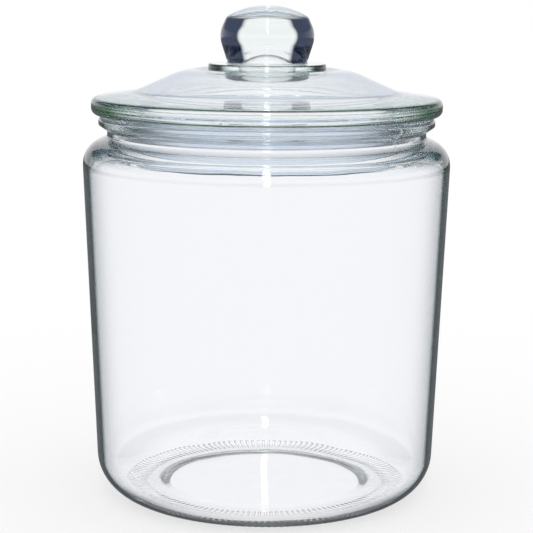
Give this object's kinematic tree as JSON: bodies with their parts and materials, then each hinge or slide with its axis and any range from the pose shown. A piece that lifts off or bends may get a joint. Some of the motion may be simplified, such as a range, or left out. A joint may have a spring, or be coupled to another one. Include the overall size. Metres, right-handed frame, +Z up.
{
  "type": "lidded glass canister",
  "caption": "Clear glass canister with a rounded shoulder and heel, a domed glass lid with a ball knob, and a clear soft sealing ring on the lid's plug.",
  "frame": {"origin": "centre of the bearing ring, on the plane that the jar stands on", "axes": "+Z up along the common axis of jar, ring and lid; X and Y are alike because the object is round"},
  "size_m": [0.1501, 0.1502, 0.2017],
  "materials": {
    "jar_glass": "clear fire-polished soda-lime glass",
    "seal_ring": "clear soft polymer",
    "lid_glass": "clear fire-polished soda-lime glass"
  },
  "bodies": {
    "jar": {"jar": "jar_glass"},
    "seal_ring": {"seal_ring": "seal_ring"},
    "lid": {"lid": "lid_glass"}
  },
  "joints": [
    {"name": "lid_lift", "type": "slide", "parent": "jar", "child": "seal_ring", "axis": [0, 0, 1], "range_m": [0, 0.15]},
    {"name": "lid_turn", "type": "hinge", "parent": "seal_ring", "child": "lid", "pos_m": [0, 0, 0.1577], "axis": [0, 0, 1], "continuous": true}
  ]
}
